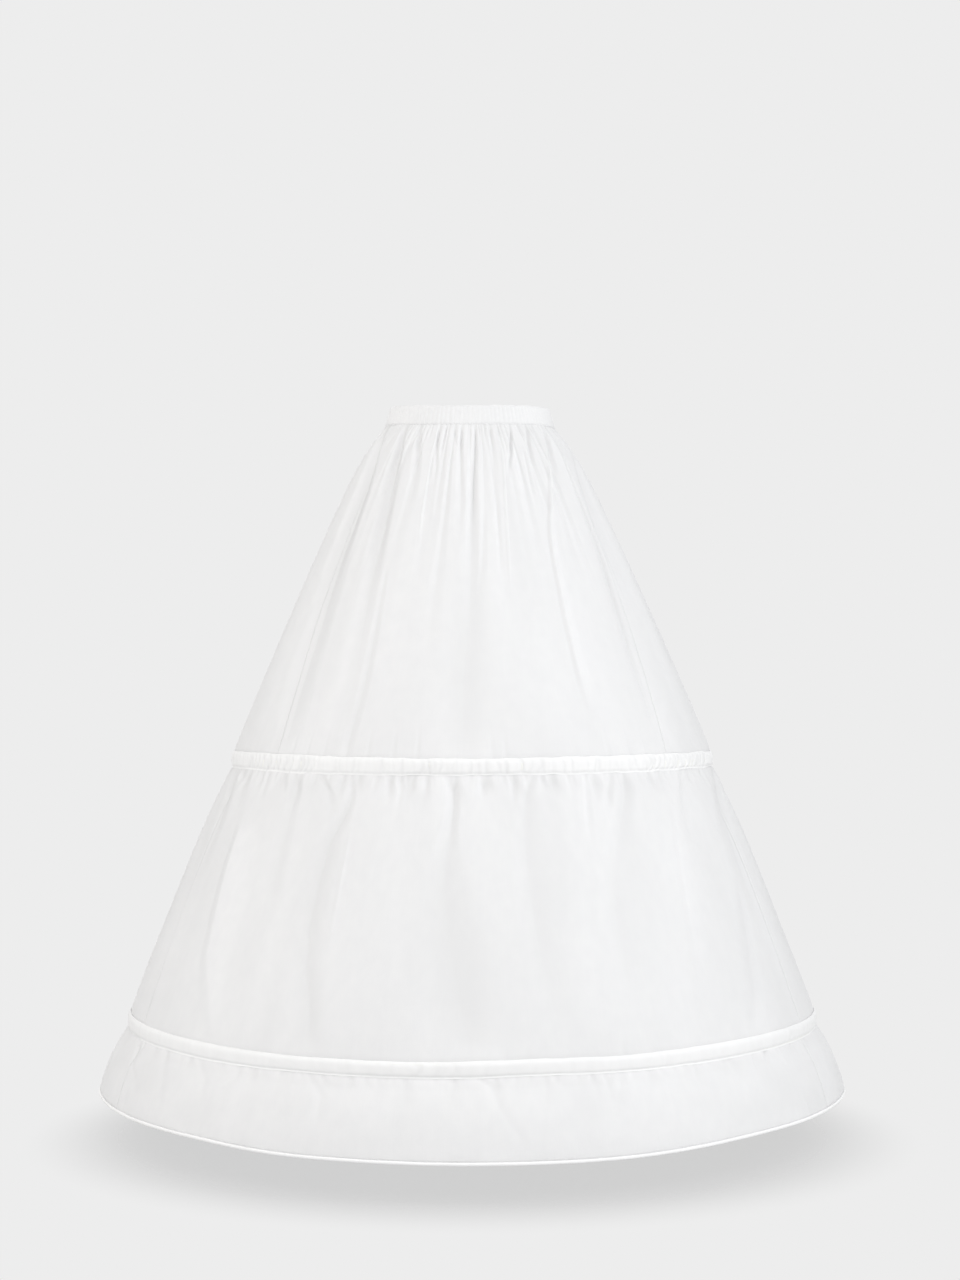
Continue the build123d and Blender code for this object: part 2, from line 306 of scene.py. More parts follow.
def mixShaders(nodes, links, share, first, second):
    # the same blend, of two shaders
    blend = nodes.new("ShaderNodeMixShader")
    feed(links, share, blend.inputs["Fac"])
    links.new(first, blend.inputs[1])
    links.new(second, blend.inputs[2])
    return blend.outputs["Shader"]


def rangeNode(nodes, links, value, fromSpan, toSpan, smooth=False):
    # one range mapped onto another
    node = nodes.new("ShaderNodeMapRange")
    node.interpolation_type = "SMOOTHSTEP" if smooth else "LINEAR"
    node.inputs["From Min"].default_value = fromSpan[0]
    node.inputs["From Max"].default_value = fromSpan[1]
    node.inputs["To Min"].default_value = toSpan[0]
    node.inputs["To Max"].default_value = toSpan[1]
    links.new(value, node.inputs["Value"])
    return node.outputs["Result"]


def bumpNode(nodes, links, height, distance, before=None):
    # a height in metres laid over the normal that came before it
    node = nodes.new("ShaderNodeBump")
    node.inputs["Distance"].default_value = distance
    links.new(height, node.inputs["Height"])
    if before is not None:
        links.new(before, node.inputs["Normal"])
    return node.outputs["Normal"]


def noiseNode(nodes, links, place, scale, detail):
    # cloudy noise over a place that is stretched by a scale of its own in each direction
    stretch = nodes.new("ShaderNodeMapping")
    stretch.inputs["Scale"].default_value = scale
    links.new(place, stretch.inputs["Vector"])
    noise = nodes.new("ShaderNodeTexNoise")
    noise.inputs["Scale"].default_value = 1.0
    noise.inputs["Detail"].default_value = detail
    links.new(stretch.outputs["Vector"], noise.inputs["Vector"])
    return noise.outputs["Fac"]


def mottleNode(nodes, links, look, tone):
    # the piece's own colour, shaded towards a second one where the tone is high
    return mixColours(nodes, links, tone, (*look["colour"], 1), (*look["shade"], 1))


def stitchLines(nodes, links, place, look):
    # rows of stitches: a dash wave along each line, times a narrow hump across it
    split = nodes.new("ShaderNodeSeparateXYZ")
    links.new(place, split.inputs["Vector"])
    phase = mathNode(nodes, links, "MULTIPLY", split.outputs["X"], turn / look["stitch"])
    dash = rangeNode(nodes, links, mathNode(nodes, links, "SINE", phase), (-0.6, 0.1), (0, 1), True)
    humps = []
    for line in look["stitchLines"]:
        away = mathNode(nodes, links, "SUBTRACT", split.outputs["Y"], line)
        gap = mathNode(nodes, links, "ABSOLUTE", away)
        humps.append(rangeNode(nodes, links, gap, (0.15 * mm, 0.45 * mm), (1, 0), True))
    hump = mathNode(nodes, links, "MAXIMUM", humps[0], humps[-1])
    return mathNode(nodes, links, "MULTIPLY", hump, dash)


def clothMaterial(name, look):
    # woven cloth: two crossed sets of fine waves as the weave, slubs and a faint mottle in the colour, which
    # turns towards a painted shade colour where the point attribute of mottle and painted shade is high, a
    # crumple at several sizes, soft sheen, and a share of light that passes through
    material, nodes, links, shader = newMaterial(name)
    uvMap = nodes.new("ShaderNodeUVMap")
    uvMap.uv_map = "flat"
    place = uvMap.outputs["UV"]
    waves = []
    for direction in ("X", "Y"):
        wave = nodes.new("ShaderNodeTexWave")
        wave.bands_direction = direction
        wave.inputs["Scale"].default_value = look["threadsPerMetre"] / turn
        wave.inputs["Distortion"].default_value = 0.4
        wave.inputs["Detail"].default_value = 1.0
        links.new(place, wave.inputs["Vector"])
        waves.append(wave.outputs["Fac"])
    weave = mathNode(nodes, links, "MULTIPLY", *waves)
    slub = noiseNode(nodes, links, place, look["slubScale"], 3.0)
    crumple = noiseNode(nodes, links, place, look["crumpleScale"], 4.0)
    tone = mathNode(nodes, links, "MULTIPLY_ADD", slub, 0.6, crumple)
    mottled = mottleNode(nodes, links, look, rangeNode(nodes, links, tone, (0.45, 1.15), (0, 1)))
    # painted shade: the point attribute darkens the colour in folds and wrinkles, with random mottle in it
    folds = nodes.new("ShaderNodeAttribute")
    folds.attribute_name = "mottleAndPaintedShade"
    colour = mixColours(nodes, links, folds.outputs["Fac"], mottled, (*look["paintedShadeColour"], 1))
    links.new(colour, shader.inputs["Base Color"])
    roughSpan = (look["roughness"] - 0.06, look["roughness"] + 0.06)
    links.new(rangeNode(nodes, links, slub, (0, 1), roughSpan), shader.inputs["Roughness"])
    shader.inputs["Sheen Weight"].default_value = look["sheen"]
    shader.inputs["Sheen Roughness"].default_value = 0.4
    shader.inputs["Specular IOR Level"].default_value = look["specular"]

    normal = bumpNode(nodes, links, crumple, look["crumpleHeight"])
    if look["stitchLines"]:
        stitches = stitchLines(nodes, links, place, look)
        normal = bumpNode(nodes, links, stitches, look["stitchHeight"], normal)
    normal = bumpNode(nodes, links, weave, look["weaveHeight"], normal)
    links.new(normal, shader.inputs["Normal"])

    through = nodes.new("ShaderNodeBsdfTranslucent")
    links.new(colour, through.inputs["Color"])
    links.new(normal, through.inputs["Normal"])
    blend = mixShaders(nodes, links, look["through"], shader.outputs["BSDF"], through.outputs["BSDF"])
    links.new(blend, nodes["Material Output"].inputs["Surface"])
    return material


skirtLook = {
    "colour": (0.925, 0.925, 0.93),
    "shade": (0.885, 0.885, 0.895),
    # painted shade colour for folds and wrinkles
    "paintedShadeColour": (0.80, 0.80, 0.805),
    "threadsPerMetre": 2600,
    "slubScale": (900, 24, 1),
    "crumpleScale": (70, 45, 1),
    "crumpleHeight": 0.25 * mm,
    "weaveHeight": 0.03 * mm,
    "roughness": 0.55,
    "sheen": 0.12,
    "specular": 0.3,
    "through": 0.2,
    "stitchLines": (),
    "stitch": 2.6 * mm,
    "stitchHeight": 0.25 * mm,
}
tapeLook = dict(
    # painted shade colour for the tapes' wrinkles and upper part
    skirtLook, colour=(0.965, 0.965, 0.968), shade=(0.94, 0.94, 0.945), paintedShadeColour=(0.85, 0.85, 0.856),
    through=0.06, crumpleScale=(110, 110, 1), crumpleHeight=0.35 * mm, stitchHeight=0.15 * mm,
)
bandLook = dict(
    skirtLook, colour=(0.82, 0.82, 0.825), shade=(0.78, 0.78, 0.79), through=0.05,
    crumpleScale=(160, 160, 1), crumpleHeight=0.15 * mm, stitchLines=(bandDrop - 2.2 * mm,),
)
skirtCloth = clothMaterial("skirt_cloth", skirtLook)
bandCloth = clothMaterial("waistband_cloth", bandLook)
hemCloth = clothMaterial("hem_cloth", tapeLook)


def coatMaterial(name, look):
    # a plain coat or metal: fine grain in the colour, the roughness and the bump, drawn out along the
    # object's directions
    material, nodes, links, shader = newMaterial(name)
    place = nodes.new("ShaderNodeTexCoord")
    grain = noiseNode(nodes, links, place.outputs["Object"], look["grain"], 3.0)
    links.new(mottleNode(nodes, links, look, grain), shader.inputs["Base Color"])
    roughSpan = (look["roughness"] - 0.08, look["roughness"] + 0.08)
    links.new(rangeNode(nodes, links, grain, (0.2, 0.8), roughSpan), shader.inputs["Roughness"])
    shader.inputs["Metallic"].default_value = look["metallic"]
    shader.inputs["Transmission Weight"].default_value = look["clear"]
    links.new(bumpNode(nodes, links, grain, look["height"]), shader.inputs["Normal"])
    return material


elasticLook = {
    "colour": (0.93, 0.93, 0.9), "shade": (0.84, 0.84, 0.81), "grain": (120, 120, 1500),
    "roughness": 0.8, "metallic": 0.0, "clear": 0.0, "height": 0.15 * mm,
}
hoopLook = {
    "colour": (0.9, 0.9, 0.88), "shade": (0.84, 0.84, 0.82), "grain": (180, 180, 180),
    "roughness": 0.42, "metallic": 0.0, "clear": 0.0, "height": 0.04 * mm,
}
sleeveLook = {
    "colour": (0.72, 0.72, 0.73), "shade": (0.6, 0.6, 0.61), "grain": (60, 900, 2400),
    "roughness": 0.34, "metallic": 1.0, "clear": 0.0, "height": 0.02 * mm,
}
lineLook = {
    "colour": (0.9, 0.91, 0.92), "shade": (0.84, 0.85, 0.86), "grain": (300, 300, 300),
    "roughness": 0.2, "metallic": 0.0, "clear": 0.7, "height": 0.02 * mm,
}
insidePieces = {
    "mid_hoop": hoopLook,
    "mid_hoop_joiner": sleeveLook,
    "lower_hoop": hoopLook,
    "lower_hoop_joiner": sleeveLook,
}
for node, look in insidePieces.items():
    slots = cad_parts[node].data.materials
    slots.clear()
    slots.append(coatMaterial(f"{node}_coat", look))
print("materials made")


# How the edges stray from level rings, in millimetres of drop at angles in degrees

bandWave = {
    "at": (-150, -110, -75, -60, -45, -30, -15, 0, 15, 30, 45, 60, 100, 150),
    "top": (-1.5, -2.6, -2.5, -1.1, 0.8, 2.7, 4.0, 4.3, 3.1, 2.1, 1.0, 0.4, 0.2, -0.6),
}
midWave = {
    "at": (-150, -100, -61, -33, -5, 30, 55, 65, 100, 150),
    "top": (0.5, -1.5, -3.5, -0.8, 1.2, -1.7, -2.9, -3.1, -1.5, 0.8),
    "low": (0.2, -1.0, -1.9, 0.3, -0.3, -1.6, -3.5, -4.1, -2.0, 0.6),
}
lowerWave = {
    "at": (-150, -100, -68, -54, -40, -33, -12, -5, 2, 9, 23, 37, 51, 58, 65, 100, 150),
    "top": (1.0, -1.0, -3.1, -1.2, 1.2, 2.9, 3.6, 3.3, 1.1, -0.7, 0.3, -2.9, -4.6, -5.0, -5.0, -2.0, 1.0),
    "low": (0.8, -0.5, -1.1, -0.7, 1.5, 1.7, 2.4, 2.5, 1.2, -1.4, -0.1, -2.1, -4.2, -4.6, -4.6, -2.0, 0.8),
}
hemWave = {
    "at": (-150, -118, -98, -87, -79, -68, -54, -47, -40, -33, -26, -12, -5, 16, 23, 30, 37, 44, 51, 58,
           65, 79, 87, 98, 118, 150),
    "low": (1.0, 0.5, -3.5, -8.0, -11.0, -9.0, -7.0, -6.1, -4.7, -1.1, 1.3, 2.0, 2.6, 1.9, 0.9, -1.6,
            -5.1, -7.7, -8.7, -9.6, -10.4, -11.0, -8.0, -3.5, 0.5, 1.0),
}


def edgeWave(wave, angle, *edges):
    # mean of the wave's named edges at each angle
    return sum(roundTheRing(angle, wave["at"], wave[edge]) for edge in edges) * mm / len(edges)


# Tiers. top and foot are (drop, half-width, half-depth), strips is how far the cloth runs on past them, and
# lip is how far it has swung out where it leaves a tape. front and back are (columns, rows, flat size, flat
# area) of a panel. A fold is a list of knots, each of them (share down the tier, angle, depth mm, left reach,
# right reach).

upper = {
    "name": "upper",
    "top": (bandDrop, bandFoot[0] - 1.0 * mm, bandFoot[1] - 1.0 * mm),
    "foot": (midTape[0], midSeat, midSeat),
    "strips": (2 * mm, midDrop - midTape[0]),
    "spring": 17 * mm,
    "rise": 0.07,
    "seams": (60, 50),
    "lip": 0,
    "aside": -3.5 * mm,
    "waves": ((bandWave, "top"), (midWave, "top", "low")),
    "front": (400, 100, (0.86, 0.53), 0.3),
    "back": (210, 72, (0.9, 0.53), 0.34),
}
lower = {
    "name": "lower",
    "top": (midTape[1], midSeat, midSeat),
    "foot": (lowerTape[0], lowerSeat, lowerSeat),
    "strips": (midTape[1] - midDrop, lowerDrop - lowerTape[0]),
    "spring": 10.5 * mm,
    "rise": 0.1,
    "seams": (68, 66),
    "lip": 2.4 * mm,
    "aside": 0,
    "waves": ((midWave, "top", "low"), (lowerWave, "top", "low")),
    "front": (460, 88, (1.3, 0.41), 0.47),
    "back": (230, 64, (1.1, 0.41), 0.4),
}
flounce = {
    "name": "flounce",
    "top": (lowerTape[1], lowerSeat, lowerSeat),
    "foot": (hemTopDrop, hemRadius - 1.2 * mm, hemRadius - 1.2 * mm),
    "strips": (lowerTape[1] - lowerDrop, 2 * mm),
    "spring": 10 * mm,
    "rise": 0.2,
    "seams": (65, 64),
    "lip": 2.4 * mm,
    "aside": 0,
    "waves": ((lowerWave, "top", "low"), (hemWave, "low")),
    "front": (560, 30, (1.3, 0.14), 0.165),
    "back": (280, 24, (1.15, 0.14), 0.14),
}

upperFolds = [
    [(.02, -71, 3.5, 5, 6), (.06, -65, 4.5, 6, 6), (.12, -60, 5.5, 7, 7), (.2, -57, 6, 8, 8),
     (.3, -55.5, 6, 9, 8), (.4, -54.5, 5.5), (.5, -53, 4.5), (.62, -51, 3.5, 9, 7), (.8, -50, 3, 8, 7),
     (.95, -48.5, 1.5, 6, 6), (1, -48, 0)],
    [(.01, -47, 2, 3, 4), (.05, -43.5, 3.5, 4, 4), (.1, -41, 4.5, 5, 4.5), (.2, -38.5, 5, 6, 5),
     (.3, -36.7, 4.5), (.4, -35.3, 3.5, 6, 4.5), (.5, -34, 1.8, 5, 4.5), (.7, -32, 1.2, 6, 4),
     (.9, -31, 1, 5, 4), (1, -30, 0)],
    [(.42, -29.3, 0, 1.5, 1.5), (.5, -29, .8, 1.8, 1.6), (.65, -28.2, 1.4, 2, 2), (.8, -28, 1.4),
     (.95, -29, 1.2)],
    [(.01, -34.5, 1.5, 2, 3), (.04, -31.5, 2.6, 3, 3), (.08, -29, 2.4), (.13, -26.5, 1.6, 4, 3),
     (.2, -25.5, 1), (.3, -25.5, 0)],
    [(.01, -20, 1.2, 1.2, 1.5), (.04, -19.2, 2, 1.5, 1.6), (.08, -18.2, 2, 1.5, 1.8),
     (.13, -16.6, 1.4, 2, 1.8), (.2, -16.5, .8, 2.5, 2), (.35, -16.5, 0)],
    [(.01, -15.2, 1.5, 1, 1.2), (.05, -15, 1.6, 1.2, 1.2), (.1, -15.2, .6), (.15, -15.2, 0)],
    [(.01, -9.5, 1.6, 1.5, 1.6), (.04, -8.5, 1.4), (.08, -7.7, 0)],
    [(.01, -5.2, 2, 1.6, 1.8), (.06, -5, 2.2, 2, 1.8), (.12, -4.6, 1.6, 2.4, 1.8), (.25, -3.8, 1, 3, 2.5),
     (.4, -4, 0)],
    [(.01, 3.2, 2.2, 1.6, 1.8), (.07, 2.8, 3, 2.4, 2), (.15, 1.8, 3, 3, 2.2), (.24, 1.2, 2.4, 3, 2.4),
     (.32, .8, 1.4, 4, 3.5), (.45, .5, 1.3, 6, 5.5), (.6, -.5, 1.6, 9, 8), (.78, -2, 1.8, 11, 9),
     (.95, -2, 1, 9, 8), (1, -2, 0)],
    [(.25, 5.2, 0, 1.5, 2), (.33, 4.8, .8), (.42, 4.2, .8), (.55, 2.5, 0)],
    [(.01, 9, 1.4, 1.2, 1.4), (.04, 9, 1.2), (.08, 9, 0)],
    [(.01, 12.8, 1.8, 1.4, 1.8), (.05, 12.2, 1.8, 1.6, 2), (.1, 11.8, 1, 1.8, 2.4), (.18, 11.2, .5, 2, 3),
     (.3, 10.6, .5, 1.2, 1.4), (.4, 10.2, .5), (.5, 9.8, 0)],
    [(.01, 17.8, 1.4, 1.2, 1.4), (.05, 17.5, 1.2), (.1, 17.5, 0)],
    [(.01, 32, 1.4, 1.4, 1.4), (.06, 32, 0)],
    [(.01, 39.2, 1.8, 1.8, 1.6), (.04, 36.2, 2.4, 2.2, 2), (.07, 33.8, 2.2, 2.4, 2.2),
     (.11, 32.5, 1, 2.4, 2.4), (.16, 31.5, 0)],
    [(.07, 29.5, 0, 1.5, 1.5), (.12, 29, .8), (.2, 28, .7), (.26, 28, 0)],
    [(.01, 44.5, 1.2, 1.5, 1.5), (.03, 43.5, 1), (.06, 43, 0)],
    [(.01, 55.5, 2.5, 2.5, 2), (.04, 52.3, 3, 3, 2.2), (.08, 48.5, 3, 3.2, 2.4), (.12, 45.8, 2.4, 3, 3),
     (.16, 43.5, 1.5, 3, 4), (.22, 42, 1, 4, 6), (.35, 39, .8, 4, 8), (.5, 37, 0)],
    [(.1, 43, 0, 1.5, 3.5), (.15, 41, -1.5), (.2, 38, -2), (.24, 36, -2), (.3, 33, -2), (.35, 31, -2),
     (.42, 30, -1.8), (.5, 29.5, -1.8), (.6, 29, -1.6), (.75, 29, -1.5), (.9, 30, 0)],
    [(.05, 80, 1.5, 4, 5), (.1, 72, 2.5), (.15, 67, 3, 5, 6), (.2, 63.5, 3, 5, 7), (.26, 60.5, 2.6, 4, 8),
     (.33, 58, 1.8, 3, 9), (.45, 58, 1, 2, 9), (.6, 58, 0)],
    [(.02, -20.5, 0, .8, .8), (.05, -20.3, -.6), (.15, -19.8, -.6), (.3, -19.5, -.5), (.4, -18.5, 0)],
    [(.06, 17.2, 0, .8, .8), (.1, 16.7, -.6), (.25, 14.5, -.6), (.4, 13.3, -.5), (.55, 12.3, 0)],
]
upperCrispFolds = [
    [(.01, 26.8, 2.2, 1.6, 1.4), (.04, 24.8, 2.8, 1.8, 1.4), (.08, 22.4, 2.6, 2, 1.6),
     (.12, 20.2, 2, 2, 1.8), (.145, 18.2, .8, 1.8, 2), (.16, 17.8, 0)],
    [(.05, 60, .8, 3, 1.5), (.12, 57, 1.4, 3, 1.6), (.2, 55.3, 2, 4, 1.6), (.3, 54.8, 2.2, 4.5, 1.6),
     (.4, 54.2, 2.4, 5, 1.6), (.5, 52.3, 2.6, 5.5, 1.8), (.6, 51, 2.4, 5, 1.8), (.7, 49.7, 2, 4.5, 1.8),
     (.8, 49, 1.4, 4, 2), (.9, 48.8, .7, 3, 2), (1, 48.5, 0)],
]
upperTucks = (
    -58, -52.5, -45, -40, -35, -29, -23.5, -17.5, -12, 4.5, 7.5, 32, 38, 43, 52, 57, 64, 71, 80, 88, 95,
    103, 112, 118, 127, 133, 142, 149, 158, 166, 173, 186, 192, 201, 207, 216, 222, 231, 239, 247, 254, 262,
    270, 277, 285, 293,
)

lowerFolds = [
    [(.01, -66, 2, 4, 4), (.05, -62.5, 1.6), (.1, -60, .8), (.2, -58, 0)],
    [(.03, -71, 1.5, 4, 4), (.1, -68, 2), (.2, -66, 1.6), (.35, -65, .8), (.5, -65, 0)],
    [(.18, -54.5, 0, 2.5, 8), (.25, -54, -2.2), (.4, -53, -2.8, 3, 9), (.55, -51.8, -2.6), (.7, -50.5, -2),
     (.8, -47.5, -1.8, 4, 8), (.9, -45, -1.2, 4, 6), (1, -43, 0)],
    [(.01, -52.5, 1.2, 1.5, 1.5), (.06, -51.5, 1), (.12, -51, 0)],
    [(.01, -46.5, 1.2, 1.4, 1.4), (.04, -45, 1), (.08, -44, 0)],
    [(.01, -43, 1.6, 2, 1.6), (.05, -41, 1.8, 2.4, 2), (.1, -40.5, 1.4), (.18, -40, 1, 3, 2.5),
     (.3, -39.5, 1.2, 4, 3), (.4, -39, 1.2), (.5, -38, .6), (.6, -38, 0)],
    [(.01, -35.5, 2, 2, 1.8), (.03, -33.5, 2.2), (.07, -31.5, 1.8, 2.5, 1.8), (.12, -29.8, .8),
     (.18, -29.5, 0)],
    [(.18, -24.2, 0, .7, .7), (.25, -24.3, -.5), (.5, -24.3, -.5), (.65, -24.3, 0)],
    [(.01, -21, 1, 1, 1), (.08, -21, 0)],
    [(.01, -17.5, 1, 1, 1), (.05, -17.5, .8), (.09, -17.5, 0)],
    [(.01, -15.5, 2, 1.2, 1.2), (.04, -15, 1.8), (.08, -15, .8), (.13, -15, 0)],
    [(.01, -12.6, 1.2, 1, 1), (.05, -12.6, 0)],
    [(.01, -9.6, 1, 1, 1), (.08, -9.6, 0)],
    [(.01, -5, 2, 1.5, 1.8), (.05, -3.9, 2.4, 1.8, 1.6), (.12, -3.6, 2.4, 2, 1.5), (.2, -4, 2, 2.5, 1.6),
     (.28, -4.5, 1.6, 3.5, 3), (.4, -5, 1.8, 6, 6), (.55, -4, 2.1, 8, 8), (.7, -2.8, 2.3, 10, 9),
     (.85, -1.5, 2.1, 10, 9), (.95, -.5, 1.1, 9, 9), (1, 0, 0)],
    [(.01, 2.2, 1.2, 1, 1.2), (.05, 2.3, .8), (.1, 2.3, 0)],
    [(.01, 8.8, 1.6, 1.2, 1.2), (.05, 8.8, 1.2), (.1, 8.8, .4), (.15, 8.8, 0)],
    [(.01, 13.3, 1.6, 1.4, 1.6), (.05, 11.8, 1.6, 1.8, 2.2), (.12, 11, 1.6, 2.5, 3.5),
     (.25, 10.3, 1.6, 3, 5), (.5, 10.8, 1.6, 3.5, 5), (.7, 11.8, 1.2), (.85, 13, .8), (1, 13, 0)],
    [(.01, 16.8, .8, 1, 1), (.05, 16.8, 0)],
    [(.01, 21.3, 1, 1, 1.2), (.1, 21.3, 0)],
    [(.01, 25.6, 1.4, 1.2, 1.4), (.05, 25, 1.2), (.12, 24.2, .8), (.2, 23.6, .5), (.28, 23.6, 0)],
    [(.01, 32.3, 1.4, 1.4, 1.2), (.05, 30.6, 1.8, 1.8, 1.4), (.09, 29.6, 1.5), (.13, 29.3, 0)],
    [(.01, 35, 1.8, 2, 2.4), (.05, 35.2, 2.6, 2.6, 2.6), (.1, 34, 2.6, 3, 3), (.15, 32.2, 2.2, 3.5, 3.5),
     (.22, 30.5, 2, 4, 5), (.35, 27.5, 1.6, 4, 8), (.5, 26, 1.6, 4, 9), (.7, 26, 1.2), (.85, 26, 0)],
    [(.08, 48, 0, 1.2, 3), (.15, 46.3, -.8), (.25, 44.5, -1.2, 1.2, 3.5), (.4, 42.6, -1.2, 1.2, 4),
     (.55, 41.2, -1), (.7, 40, -.6), (.85, 40, 0)],
    [(.01, 48.5, 1, 1.2, 1.2), (.08, 48.5, 0)],
    [(.02, 55, 1, 1.5, 1.5), (.06, 53, 1.6, 2, 1.8), (.1, 51.3, 1.6), (.17, 49.5, 1.2), (.25, 49, .5),
     (.35, 49, 0)],
    [(.44, 60, 0, 3, 2.2), (.5, 59.3, 1.2), (.62, 57.2, 1.6, 4, 2.6), (.75, 54.8, 1.8), (.87, 53, 1.8),
     (.95, 50.5, 1.2), (1, 50, 0)],
    [(.02, 77, 2, 5, 4), (.08, 72.5, 3, 6, 4), (.15, 69, 3, 7, 4), (.25, 66.5, 2.4), (.4, 64.5, 1.6, 6, 5),
     (.55, 64, .8), (.7, 64, 0)],
]
lowerCrispFolds = [
    [(.01, -27.3, 2.2, 1.8, 1.5), (.06, -26, 2.6, 2.2, 1.4), (.1, -25.5, 2.6, 2.6, 1.4),
     (.16, -26.5, 2.8, 3.5, 2), (.25, -28.5, 3.2, 4, 3.6), (.4, -29, 3.2, 5, 3.8), (.55, -29, 3),
     (.7, -28, 2.6), (.8, -26.3, 2.4, 5, 3.4), (.9, -25.2, 2.4, 5, 3.2), (1, -25, 1)],
]

flounceFolds = [
    [(0, -66.5, .9, 1.4, 1.4), (.07, -66, .9), (.15, -65, .9), (.35, -64, .8), (.45, -61, .7),
     (.55, -60.3, 0)],
    [(0, -55, .6, 1.6, 1.8), (.35, -52.5, .6), (.7, -50.5, .4), (.9, -50, 0)],
    [(0, -46, .9, 1.4, 1.6), (.25, -42.5, .8), (.5, -42, .4), (.7, -42, 0)],
    [(0, -36.8, 1.2, 1.2, 1.4), (.12, -36.5, 1.1), (.33, -38, .8, 1.6, 1.8), (.5, -38, .4), (.65, -38, 0)],
    [(0, -28, 1, 1, 1), (.06, -28, .4), (.12, -28, 0)],
    [(0, -24.5, 1, 1.3, 1.5), (.25, -21.5, .9), (.5, -21.5, .5), (.7, -21.5, 0)],
    [(0, -12.5, .9, 1, 1), (.08, -12.5, 0)],
    [(0, 1, 1.2, 1.3, 1.5), (.08, 2.8, 1.2), (.35, 4, .9), (.5, 5, .7), (.7, 6.5, .5), (.85, 7, 0)],
    [(0, 22.4, 1, 1.3, 1.5), (.25, 21.5, .8), (.4, 20.5, .5), (.6, 20, 0)],
    [(0, 33, 1, 1, 1), (.1, 33, 0)],
    [(0, 36, 1, 1, 1), (.1, 36, 0)],
    [(0, 41.2, 1, 1.2, 1.4), (.1, 40.5, .8), (.25, 40, 0)],
    [(.05, 51.3, .8, 1.4, 1.6), (.35, 49, .5), (.5, 48.5, 0)],
    [(.05, 56, .8, 1.2, 1.4), (.35, 56, .4), (.5, 56, 0)],
    [(.7, 57.5, 0, 1, 1), (.82, 57.5, .9), (1, 57.5, 1.1)],
    [(.65, -62.2, 0, 1.2, 1.4), (.75, -62, .7), (.85, -61.5, .6), (.95, -61.3, 0)],
]

# the same kinds of fold on the sides and the back, and the small gathers between the named ones
upperFolds += strayFolds(31, 88, 280, 11, (0.45, 0.95), (2.5, 5.5), (3.5, 7.0), 3.5)
upperFolds += strayFolds(32, 84, 284, 30, (0.08, 0.32), (1.2, 3.0), (1.3, 2.6), 1.6)
upperFolds += strayFolds(33, -74, 286, 60, (0.03, 0.1), (0.6, 1.5), (0.9, 1.8), 0.6)
upperFolds += strayFolds(41, -52, 48, 15, (0.35, 0.75), (0.5, 1.1), (1.4, 2.4), 1.6, 0.07)
lowerFolds += strayFolds(34, 80, 284, 9, (0.4, 0.95), (2.0, 4.0), (3.0, 6.0), 3.0)
lowerFolds += strayFolds(35, 80, 286, 38, (0.06, 0.24), (1.0, 2.4), (1.1, 2.2), 1.2)
lowerFolds += strayFolds(36, -74, 286, 100, (0.02, 0.07), (0.4, 1.3), (0.6, 1.2), 0.5)
lowerFolds += strayFolds(39, -68, 68, 24, (0.05, 0.12), (1.2, 2.8), (1.5, 2.8), 0.8)
flounceFolds += strayFolds(37, 68, 292, 24, (0.3, 0.8), (0.6, 1.2), (1.0, 1.8), 1.5, 0)
flounceFolds += strayFolds(38, -74, 286, 150, (0.04, 0.14), (0.3, 0.9), (0.5, 1.0), 0.4, 0)
flounceFolds += strayFolds(40, -68, 68, 22, (0.15, 0.45), (0.9, 1.8), (1.2, 2.4), 1.0, 0)


def outlineAt(tier, drop):
    # the CAD's outline: straight between the edges, plus spring * (1 - e^(-share / rise)) * (1 - share^2)
    topDrop, topWidth, topDepth = tier["top"]
    footDrop, footWidth, footDepth = tier["foot"]
    share = np.clip((drop - topDrop) / (footDrop - topDrop), 0, 1)
    sprung = tier["spring"] * (1 - np.exp(-share / tier["rise"])) * (1 - share**2)
    halfWidth = topWidth + (footWidth - topWidth) * share + sprung
    return halfWidth, topDepth + (footDepth - topDepth) * share + sprung


def lowSwell(angle, share, noise, height, easing):
    # soft noise of that height in mm, which fades towards both edges over the shares given as easing
    swell = ringNoise(angle, share, *noise) * height * mm
    return swell * smoothStep(share / easing[0]) * smoothStep((1 - share) / easing[1])


def upperRelief(angle, share):
    # gathers that leave the band as narrow valleys and run into broad folds, small tucks above the casing,
    # and a low swell that fades towards both edges
    height = foldField(angle, share, upperFolds, 0.3, 1.8)
    height += foldField(angle, share, upperCrispFolds, 0.9, 1.8)
    tucks = [[(.9, place, 0, .8, .8), (.95, place, .5), (1, place, 1.5, 1, 1)] for place in upperTucks]
    height += foldField(angle, share, tucks, 0.3, 0.7)
    return height + lowSwell(angle, share, (40, 0.5, 4), 1.1, (0.1, 0.1))


def lowerRelief(angle, share):
    # uneven gathers under the middle casing, broad soft folds, a low swell that fades towards both edges,
    # and faint tucks above the lower casing
    height = foldField(angle, share, lowerFolds, 0.3, 1.7)
    height += foldField(angle, share, lowerCrispFolds, 0.8, 1.4)
    nearFoot = smoothStep((share - 0.94) / 0.06)
    height *= 1 - 0.8 * nearFoot
    height += lowSwell(angle, share, (46, 0.6, 14), 1.0, (0.1, 0.1))
    tucks = np.minimum(ringNoise(angle, share, 220, 3, 15) + 0.35, 0) * 1.2 * mm
    return height + tucks * nearFoot


def flounceRelief(angle, share):
    # short puckers under the lower casing and slight waves on the way down to the hem
    height = foldField(angle, share, flounceFolds, 0.5, 1.2)
    return height + lowSwell(angle, share, (60, 1.2, 24), 0.5, (0.2, 0.1))


def seamAt(tier, share):
    # angle of the side seam in degrees, a straight line down the tier
    return tier["seams"][0] + (tier["seams"][1] - tier["seams"][0]) * share


